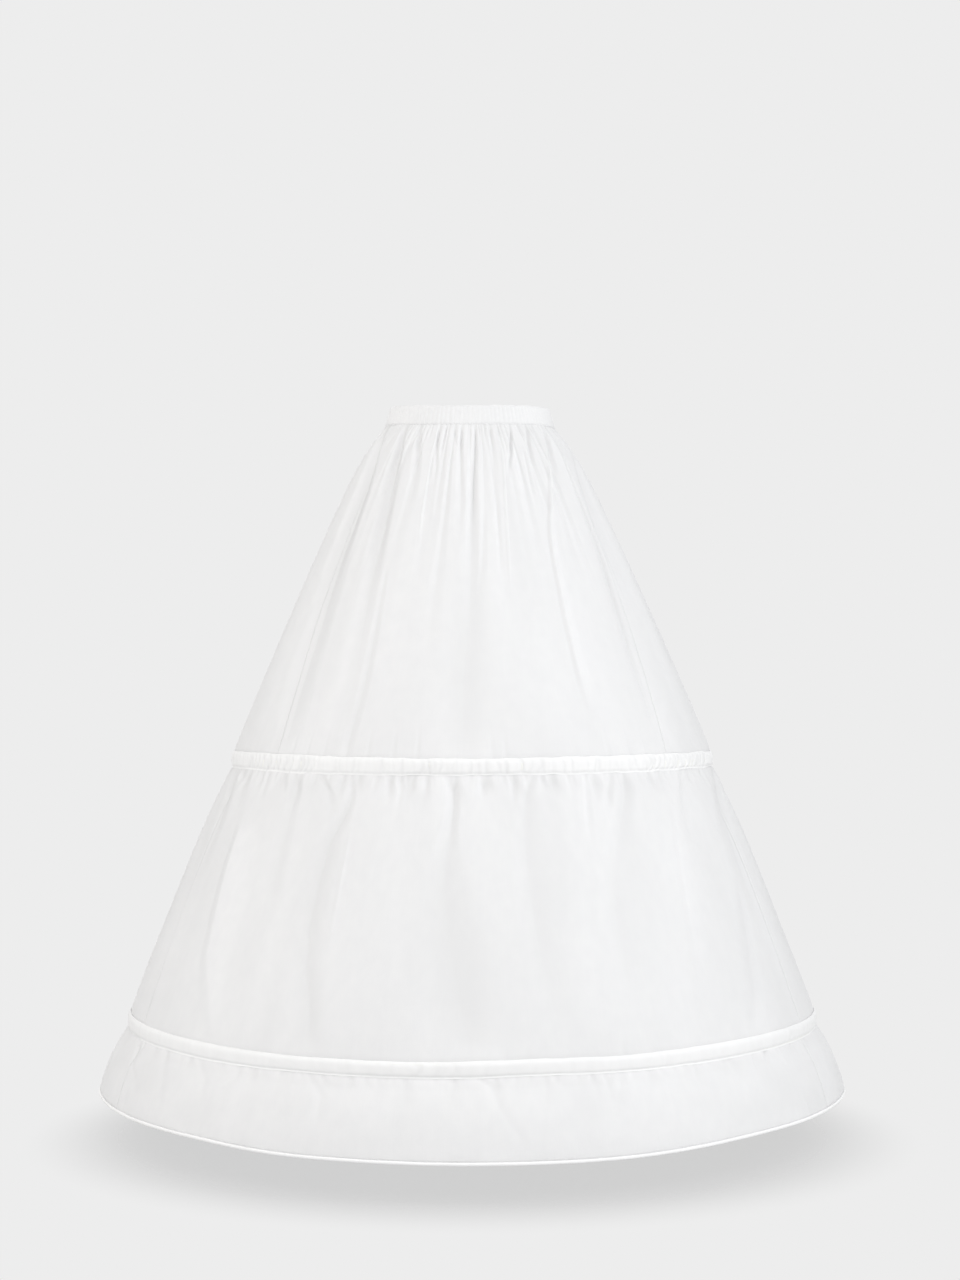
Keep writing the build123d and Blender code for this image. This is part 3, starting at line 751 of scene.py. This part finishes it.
def panelEdges(tier, side, share, radius):
    # the panel's first and last angle at each share; it laps over or under its neighbour by seamLap
    seam = np.radians(seamAt(tier, share))
    lap = seamLap / radius
    return {
        "front": (-seam - lap, seam + lap),
        "back_left": (seam - lap, math.pi + lap),
        "back_right": (-math.pi - lap, lap - seam),
    }[side]


seamShape = {
    "groove": (0.08 * mm, 2.2 * mm),  # depth and width
    "underDip": (0.06 * mm, 1.2 * mm),  # the same, added where a panel passes under its neighbour
    "ridge": (0.2 * mm, 3.5 * mm),  # height and width of the turned-in allowance
    "allowance": 5 * mm,  # how far from the seam it lies
}


def seamGroove(angle, tier, side, share, radius):
    # the cloth turns in at each seam: a shallow bell-shaped groove beside a low bell-shaped ridge where the
    # allowance lies under it; a back panel passes under the front one, and the left back panel under the
    # right one
    groove = np.zeros_like(angle)
    seam = seamAt(tier, share)
    isBack = side != "front"
    for line, passesUnder in ((-seam, isBack), (seam, isBack), (180, side == "back_left")):
        away = np.radians(fromPlace(angle, line)) * radius
        if passesUnder:
            groove -= bell(away, *seamShape["underDip"])
        groove -= bell(away, *seamShape["groove"])
        groove += bell(away - seamShape["allowance"], *seamShape["ridge"])
    return groove


panelCloth = {
    "closerRows": 0.35,  # 0 spaces the rows evenly, and more draws them together near the top
    "edgeDip": 0.25 * mm,  # how far the cloth may dip at a sewn edge
    "dipGrowth": 110 * mm,  # and how much further for a whole tier's length away from it
    "edgeEase": 0.03,  # share over which a ridge rises from a sewn edge
    "tuckedIn": 4 * mm,  # drop over which the relief dies away behind a tape
    "lipRise": 7 * mm,  # drop over which the cloth swings out behind a tape
    "lipEnd": 0.15,  # share by which that is used up
    "flatTone": 0.28,  # painted shade tone of a flat place
    "paintedDepthShade": (0.45, 6 * mm),  # painted shade low in folds: strength, and the depth that gives most of it
    "paintedSlopeShade": (0.32, 0.4),  # painted shade on fold sides away from the key lamp: strength, and the slope that gives most of it
}


def paintedShadeAndClouds(angle, share, lie, halfWidth):
    # painted shade and random clouds for the cloth's colour: a flat place's tone with faint clouds, less the
    # tanh of the cloth's height, so darker low in a fold, plus the tanh of its slope across the fold, so
    # darker on fold sides that face away from the key lamp at the right
    depthStrength, fullDepth = panelCloth["paintedDepthShade"]
    slopeStrength, fullSlope = panelCloth["paintedSlopeShade"]
    slope = np.gradient(lie, axis=1) / (np.gradient(angle, axis=1) * halfWidth)
    cloudy = 0.14 * ringNoise(angle, share, 42, 0.35, 91) + 0.08 * ringNoise(angle, share, 110, 0.5, 92)
    tone = panelCloth["flatTone"] + cloudy - depthStrength * np.tanh(lie / fullDepth)
    return np.clip(tone + slopeStrength * np.tanh(slope / fullSlope), 0, 1)


def clothPanel(tier, side, relief):
    # one panel: the outline at each drop, plus the relief that belongs to that angle and share of the tier,
    # which is held flat near the sewn edges, plus the lip below a tape
    columns, rows, flat, area = tier["front" if side == "front" else "back"]
    topStrip, footStrip = tier["strips"]
    topDrop, footDrop = tier["top"][0], tier["foot"][0]
    row = np.linspace(0, 1, rows)[:, None]
    row = (1 - panelCloth["closerRows"]) * row + panelCloth["closerRows"] * row**2
    level = topDrop - topStrip + (footDrop + footStrip - topDrop + topStrip) * row
    straight = (level - topDrop) / (footDrop - topDrop)
    first, last = panelEdges(tier, side, straight, outlineAt(tier, level)[0])
    angle = first + (last - first) * np.linspace(0, 1, columns)[None, :]
    drop = np.broadcast_to(level, angle.shape)
    share = np.broadcast_to(np.clip(straight, 0, 1), angle.shape)
    halfWidth, halfDepth = outlineAt(tier, drop)
    lie = relief(angle, share)
    fromEdge = np.minimum(share, 1 - share)
    held = panelCloth["edgeDip"] + panelCloth["dipGrowth"] * fromEdge
    raised = np.maximum(lie, -held) + seamGroove(angle, tier, side, straight, halfWidth)
    raised = np.where(raised > 0, raised * smoothStep(fromEdge / panelCloth["edgeEase"]), raised)
    raised = raised * smoothStep((drop - topDrop) / panelCloth["tuckedIn"] + 1)
    raised = raised * smoothStep((footDrop - drop) / panelCloth["tuckedIn"] + 1)
    lip = tier["lip"] * smoothStep((drop - topDrop) / panelCloth["lipRise"] + 1)
    raised = raised + lip * (1 - smoothStep(share / panelCloth["lipEnd"]))
    topWave, footWave = (edgeWave(wave[0], angle, *wave[1:]) for wave in tier["waves"])
    lowered = drop + topWave * (1 - share) + footWave * share
    aside = tier["aside"] * (1 - share)
    points = placePoints(angle, halfWidth + raised, halfDepth + raised, lowered, aside)
    across = angle * (tier["top"][1] + tier["foot"][1]) / 2
    flatPlaces = np.stack([across, drop], -1)
    # painted shade: darker in fold valleys and on fold sides that face away from the key lamp, with faint
    # clouds
    mottleAndPaintedShade = paintedShadeAndClouds(angle, share, lie, halfWidth)
    name = f"{tier['name']}_{side}"
    panel = clothFromGrid(f"{name}_cloth", points, flatPlaces, clothThickness, skirtCloth, mottleAndPaintedShade)
    finishPiece(panel, f"{name}_panel")


for tier, relief in ((upper, upperRelief), (lower, lowerRelief), (flounce, flounceRelief)):
    for side in ("front", "back_left", "back_right"):
        clothPanel(tier, side, relief)
    print(f"{tier['name']} panels made")

# Waistband

elastic = {"thickness": 1.2 * mm, "height": 22 * mm, "columns": 480}
band = {
    "ribs": 116,
    "relief": 0.5 * mm,
    "thickness": 3.4 * mm,
    "columns": 928,
    "corner": 1.2 * mm,
    "uneven": 0.9,  # how far the ribs stray along the band, in radians of their wave
    "crooked": 0.25,  # the same for the way down each rib
    "clearer": (0.75, 0.3),  # how clear the ribs are at the front, and how much that changes at a side
    "varied": (0.8, 0.45),  # mean strength of a rib, and how far it varies
    "sway": 0.5 * mm,
    "ragged": (0.5 * mm, 0.4 * mm),  # how far the foot strays with the ribs, and by chance
}


def waistband():
    # a rounded upright section carried round the oval, with a rib wave that is uneven in height and spacing
    half = band["thickness"] / 2
    corner = band["corner"]
    bend = np.linspace(0, math.pi / 2, 4)
    topArc = [(half - corner + corner * math.cos(t), corner * (1 - math.sin(t))) for t in bend]
    outerWall = [(half, v) for v in np.linspace(bandDrop - corner, corner, 11)]
    footArc = [(half - corner + corner * math.sin(t), bandDrop - corner + corner * math.cos(t)) for t in bend]
    outer = footArc[:-1] + outerWall[:-1] + topArc
    inner = [(-x, v) for x, v in outer[::-1]]
    section = np.array(outer + inner)
    out, drop = section[:, :1], section[:, 1:]
    angle = ringAngles(band["columns"])
    phase = band["ribs"] * angle + band["uneven"] * ringNoise(angle, 0 * drop, 60, 1, 41)
    phase = phase + band["crooked"] * ringNoise(angle, drop, 90, 0.01, 42)
    clearer = band["clearer"][0] - band["clearer"][1] * np.sin(angle)
    strength = clearer * (band["varied"][0] + band["varied"][1] * ringNoise(angle, drop, 50, 0.02, 43))
    rib = band["relief"] * strength * np.cos(phase) * np.sign(out) * smoothStep(np.abs(out) / half)
    offset = out + rib + band["sway"] * ringNoise(angle, drop, 14, 0.05, 44)
    flare = bandFlare * drop / bandDrop
    middleWidth = bandHead[0] - half + flare
    middleDepth = bandHead[1] - half + flare
    withRibs, byChance = band["ragged"]
    ragged = withRibs * np.cos(phase) + byChance * ringNoise(angle, 0 * drop, 150, 1, 45)
    lowered = drop + edgeWave(bandWave, angle, "top") + ragged * smoothStep(drop / bandDrop * 2 - 1)
    points = placePoints(angle, middleWidth + offset, middleDepth + offset, lowered, upper["aside"])
    flat = np.stack(np.broadcast_arrays(angle * bandFoot[0], drop + 0.1 * out), -1)
    piece = ringFromSection("waistband_cloth", points, flat, bandCloth)
    finishPiece(piece, "waistband_casing")


def waistElastic():
    # flat elastic in the band's tunnel: a thin upright section carried round the oval with the band's lean
    halfThickness, halfHeight = elastic["thickness"] / 2, elastic["height"] / 2
    across = np.array([-1, 1, 1, 1, -1, -1])[:, None] * halfThickness
    drop = bandDrop / 2 + np.array([-1, -1, 0, 1, 1, 0])[:, None] * halfHeight
    angle = ringAngles(elastic["columns"])
    inset = bandFlare * drop / bandDrop - band["thickness"] / 2 + across
    lowered = drop + edgeWave(bandWave, angle, "top")
    points = placePoints(angle, bandHead[0] + inset, bandHead[1] + inset, lowered, upper["aside"])
    flat = np.stack(np.broadcast_arrays(angle * bandFoot[0], drop + across), -1)
    coat = coatMaterial("waist_elastic_webbing", elasticLook)
    piece = ringFromSection("waist_elastic_webbing", points, flat, coat)
    finishPiece(piece, "waist_elastic")


waistband()
waistElastic()
print("waistband made")


# Casings and hem. A section is a list of (share of the half-height from the middle down, mm out from the
# cloth). The painted shade along a tape's section is such shares and the shade at each, darker on the upper
# part that faces up to the lamps and none on the lip at the foot; mottle is (streaks round the ring,
# strength), and crescents are (first angle, last angle, count, depth mm).

midCasing = {
    "node": "mid_casing",
    "joiner": "mid_hoop_joiner",
    "edges": midTape,
    "seat": midSeat,
    "wave": midWave,
    "columns": 1600,
    "seed": 51,
    "section": ((-1, -.3), (-.95, .3), (-.86, 1.1), (-.73, 2.2), (-.58, 3.1), (-.3, 3.7), (.05, 3.9),
                (.42, 3.9), (.58, 3.7), (.7, 3.1), (.78, 2.6), (.84, 2.4), (.9, 2.5), (.95, 2.7),
                (.98, 2.7), (1, 2.1)),
    "paintedSectionShade": ((-1, -.9, -.8, -.4, 0, .5, .76, .84, 1), (.2, .35, .6, .5, .4, .2, .3, 0, 0)),
    "mottle": (700, 0.22),
    "flat": (2.4, 0.033),
    "wrinkles": 150,
    "depths": (0.2, 1.0),
    "ragged": 0.8,
    "crescents": ((-64, -37, 15, 1.5), (42, 70, 17, 1.6), (95, 265, 60, 1.2), (-13, -6, 4, .9),
                  (10, 15, 3, .9)),
}
lowerCasing = {
    "node": "lower_casing",
    "joiner": "lower_hoop_joiner",
    "edges": lowerTape,
    "seat": lowerSeat,
    "wave": lowerWave,
    "columns": 1500,
    "seed": 61,
    "section": ((-1, -.3), (-.95, .3), (-.86, 1.1), (-.72, 2.3), (-.57, 3.2), (-.3, 3.7), (.05, 3.8),
                (.43, 3.7), (.57, 3.4), (.68, 2.8), (.75, 2.3), (.81, 2.2), (.88, 2.4), (.94, 2.7),
                (.98, 2.7), (1, 2.1)),
    "paintedSectionShade": ((-1, -.9, -.8, -.4, 0, .5, .7, .78, 1), (.2, .35, .6, .5, .4, .25, .4, 0, 0)),
    "mottle": (500, 0.1),
    "flat": (3.45, 0.031),
    "wrinkles": 110,
    "depths": (0.08, 0.3),
    "ragged": 0.3,
    "crescents": ((-10, -2, 5, .6), (56, 74, 10, .5), (100, 260, 30, .4)),
}


# what both tapes share
tape = {
    "innerShares": (0.97, 0.8, 0.6, 0.2, -0.4, -0.84, -0.97),  # the inner face's, from the foot up
    "edgeOut": -0.3 * mm,  # no part of the tape lies further in than this
    "swell": 0.25 * mm,
    "overJoiner": 0.3 * mm,
    "stitchInsets": (1.6 * mm, 2.4 * mm),  # from the top and the foot
    "streakBow": 1.5 * mm,
    "paintedWrinkleShade": 0.42,  # painted shade for each mm of a wrinkle's depth
    "spreads": (0.25, 0.2),  # of the wrinkles' slants and bows, in degrees
    "crescent": (-0.5, 1.3),  # slant and bow of a crescent
    "width": (0.28, 0.5),
}


def crescentField(angle, across, casing):
    # wrinkles that cross the tape: each runs at a slant, bows sideways by 1 - across^2, and dips as a bell
    # where the tape stands clear of its stitched edges
    rng = np.random.default_rng(casing["seed"])
    height = np.zeros_like(angle)
    for low, high, count, depth in [(-180, 180, casing["wrinkles"], None), *casing["crescents"]]:
        for number in range(count):
            place = low + (high - low) * (number + rng.uniform(0.1, 0.9)) / count
            dip = rng.uniform(*casing["depths"]) if depth is None else depth * rng.uniform(0.6, 1.1)
            lean, bow = [rng.normal(0, d) for d in tape["spreads"]] if depth is None else tape["crescent"]
            width = rng.uniform(*tape["width"])
            bow = bow * rng.uniform(0.6, 1.2)
            away = fromPlace(angle, place + lean * across + bow * (1 - across**2))
            height -= bell(away, dip * mm, width)
    return height * smoothStep((1 - np.abs(across)) / 0.35)


def casingTape(casing):
    # tape over a hoop: the section carried round the ring, crossed by wrinkles, its edges straying with the
    # wave, with a low bump at the centre back over the hoop's joiner; its painted shade is set along the
    # section, darker on the upper part that faces up to the lamps, with random streaks, and darker where a
    # wrinkle dips
    topDrop, footDrop = casing["edges"]
    shares, outs = np.array(casing["section"]).T
    innerShares = np.array(tape["innerShares"])
    across = np.concatenate([shares, innerShares])[:, None]
    out = np.concatenate([outs, np.interp(innerShares, shares, outs)])[:, None] * mm
    isInner = np.arange(len(across))[:, None] >= len(shares)
    angle = ringAngles(casing["columns"])
    across, out, isInner, angle = np.broadcast_arrays(across, out, isInner, angle)
    swell = tape["swell"] * ringNoise(angle, across, 130, 1.5, casing["seed"] + 2)
    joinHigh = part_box(casing["joiner"])[1]
    reach = np.degrees(joinHigh.x / casing["seat"]) + 1
    over = smoothStep(3 - 2 * np.abs(fromPlace(angle, 180)) / reach)
    needed = joinHigh.y - casing["seat"] + tapeThickness + tape["overJoiner"]
    bump = over * max(needed - outs.max() * mm, 0)
    wrinkles = crescentField(angle, across, casing) * (1 - over)
    lifted = out + (wrinkles + swell * (1 - over) + bump) * out / out.max()
    raised = casing["seat"] + np.maximum(lifted - np.where(isInner, tapeThickness, 0), tape["edgeOut"])
    half = (footDrop - topDrop) / 2
    topWave = edgeWave(casing["wave"], angle, "top")
    lowWave = edgeWave(casing["wave"], angle, "low")
    ragged = casing["ragged"] * mm * across * ringNoise(angle, 0 * angle, 140, 1, casing["seed"] + 3)
    drop = (topDrop + footDrop) / 2 + across * half + ragged
    drop = drop + topWave * (1 - across) / 2 + lowWave * (1 + across) / 2
    flat = np.stack([angle * casing["seat"], (1 + across) * half], -1)
    topStitch, footStitch = tape["stitchInsets"]
    look = dict(tapeLook, stitchLines=(topStitch, footDrop - topDrop - footStitch))
    name = f"{casing['node']}_tape"
    points = placePoints(angle, raised, raised, drop)
    cells, mottle = casing["mottle"]
    bowed = angle + tape["streakBow"] / casing["seat"] * across**2
    streaks = mottle * ringNoise(bowed, across, cells, 1.3, casing["seed"] + 5)
    # painted shade along the section, darker on the upper part that faces up to the lamps, plus random
    # streaks
    tone = np.interp(across, *casing["paintedSectionShade"]) + streaks
    # painted shade: darker again where a wrinkle dips
    mottleAndPaintedShade = np.clip(tone - tape["paintedWrinkleShade"] * wrinkles / mm, 0, 1)
    piece = ringFromSection(name, points, flat, clothMaterial(name, look), mottleAndPaintedShade)
    finishPiece(piece, casing["node"])


casingTape(midCasing)
casingTape(lowerCasing)
print("casings made")


hem = {
    "middle": hemRadius - 1.6 * mm,
    "drop": (hemDrop + hemTopDrop) / 2,
    "halfWidth": 1.5 * mm,
    "halfHeight": (hemDrop - hemTopDrop) / 2,
    "squeeze": 0.06,
    "columns": 1200,
}
nylonLine = {"radius": 0.4 * mm, "lower": 0.8 * mm, "columns": 720}


def rolledHem():
    # a tight roll: an upright oval section with a faint squeeze along it, carried round the hem
    around = np.linspace(0, turn, 12, endpoint=False)[:, None]
    angle = ringAngles(hem["columns"])
    squeeze = 1 + hem["squeeze"] * ringNoise(angle, around, 200, 2.0, 71)
    radius = hem["middle"] + hem["halfWidth"] * np.cos(around) * squeeze
    drop = hem["drop"] - hem["halfHeight"] * np.sin(around) * squeeze + edgeWave(hemWave, angle, "low")
    flat = np.stack(np.broadcast_arrays(angle * hemRadius, drop), -1)
    points = placePoints(angle, radius, radius, drop)
    piece = ringFromSection("rolled_hem_cloth", points, flat, hemCloth)
    finishPiece(piece, "rolled_hem")


def hemLine():
    # the stiff line inside the roll: a thin round section that follows the hem
    around = np.linspace(0, turn, 8, endpoint=False)[:, None]
    angle = ringAngles(nylonLine["columns"])
    radius = hem["middle"] + nylonLine["radius"] * np.cos(around) + 0 * angle
    middle = hem["drop"] + nylonLine["lower"] + edgeWave(hemWave, angle, "low")
    drop = middle - nylonLine["radius"] * np.sin(around)
    points = placePoints(angle, radius, radius, drop)
    flat = np.stack(np.broadcast_arrays(angle * hemRadius, drop), -1)
    piece = ringFromSection("hem_line_nylon", points, flat, coatMaterial("hem_line_coat", lineLook))
    finishPiece(piece, "hem_line")


rolledHem()
hemLine()
print("hem made")

# Floor, light and camera

backdrop = (0.847, 0.847, 0.847, 1)
floor = {
    "drop": hemDrop + 0.055,
    "radius": 6,
    "colour": (0.24, 0.24, 0.24, 1),
    "glow": 0.71,  # share of the floor's look that is its own even light
    "fade": (0.475, 0.675),  # distances from its middle between which it fades out
    "forward": 0.04,  # how far in front of the axis that middle lies
}


def studioFloor():
    # a pale disc, partly its own even light, that fades out with the distance from its middle, so that only
    # the soft shadow below the hem shows on the backdrop
    radii = np.linspace(0, floor["radius"], 30)[:, None]
    angle = np.linspace(0, turn, 97)[None, :]
    spread = np.broadcast_arrays(radii * np.cos(angle), radii * np.sin(angle), -floor["drop"])
    material, nodes, links, shader = newMaterial("pale_floor")
    shader.inputs["Roughness"].default_value = 0.9
    shader.inputs["Base Color"].default_value = floor["colour"]
    shader.inputs["Specular IOR Level"].default_value = 0.0
    glow = nodes.new("ShaderNodeEmission")
    glow.inputs["Color"].default_value = backdrop
    place = nodes.new("ShaderNodeTexCoord")
    length = nodes.new("ShaderNodeVectorMath")
    length.operation = "DISTANCE"
    links.new(place.outputs["Object"], length.inputs[0])
    length.inputs[1].default_value = (0, -floor["forward"], -floor["drop"])
    fade = rangeNode(nodes, links, length.outputs["Value"], floor["fade"], (0, 1), True)
    clear = nodes.new("ShaderNodeBsdfTransparent")
    lit = mixShaders(nodes, links, floor["glow"], shader.outputs["BSDF"], glow.outputs["Emission"])
    blend = mixShaders(nodes, links, fade, lit, clear.outputs["BSDF"])
    links.new(blend, nodes["Material Output"].inputs["Surface"])
    points = np.stack(spread, -1)
    index = np.arange(points.shape[0] * points.shape[1]).reshape(points.shape[:2])
    makeMesh("studio_floor", points.reshape(-1, 3), gridQuads(index), material)


studioFloor()


# each lamp is (place, power, colour), and all of them face one point of the axis
lamps = {
    "key": ((3.76, -1.5, 1.5), 58, (0.95, 0.978, 1.0)),
    "front": ((0.3, -4.0, 1.6), 58, (1.0, 1.0, 1.0)),
    "fill": ((-3.94, -0.7, 1.4), 50, (1.0, 0.975, 0.935)),
}
lampTarget = (0, 0, -0.5)
lampSize = 1.6


def areaLight(name, place, power, colour):
    # a round lamp that faces the target
    light = bpy.data.lights.new(name, "AREA")
    light.shape = "DISK"
    light.size = lampSize
    light.energy = power
    light.color = colour
    holder = bpy.data.objects.new(name, light)
    holder.location = place
    holder.rotation_euler = (Vector(place) - Vector(lampTarget)).to_track_quat("Z", "Y").to_euler()
    bpy.context.scene.collection.objects.link(holder)


for name, (place, power, colour) in lamps.items():
    areaLight(name, place, power, colour)

allRound = {"colour": (1.0, 0.997, 0.988, 1), "strength": 0.69}


def studioWorld():
    # the camera sees an even grey, and the pieces get a weaker light from all round
    world = bpy.data.worlds.new("studio")
    bpy.context.scene.world = world
    world.use_nodes = True
    nodes, links = world.node_tree.nodes, world.node_tree.links
    seen = nodes["Background"]
    seen.inputs["Color"].default_value = backdrop
    light = nodes.new("ShaderNodeBackground")
    light.inputs["Color"].default_value = allRound["colour"]
    light.inputs["Strength"].default_value = allRound["strength"]
    isSeen = nodes.new("ShaderNodeLightPath").outputs["Is Camera Ray"]
    blend = mixShaders(nodes, links, isSeen, light.outputs["Background"], seen.outputs["Background"])
    links.new(blend, nodes["World Output"].inputs["Surface"])
    bpy.context.scene.view_settings.view_transform = "Standard"


studioWorld()

camera = {"lens": 63.8, "distance": 3.485, "drop": 0.435, "aside": 0.0116, "tilt": 1.33}
lensData = bpy.data.cameras.new("camera")
lensData.lens = camera["lens"]
lensData.sensor_width = 36
cameraHolder = bpy.data.objects.new("camera", lensData)
cameraHolder.location = (camera["aside"], -camera["distance"], -camera["drop"])
cameraHolder.rotation_euler = (math.radians(90 + camera["tilt"]), 0, 0)
bpy.context.scene.collection.objects.link(cameraHolder)
bpy.context.scene.camera = cameraHolder
print("floor, light and camera made")
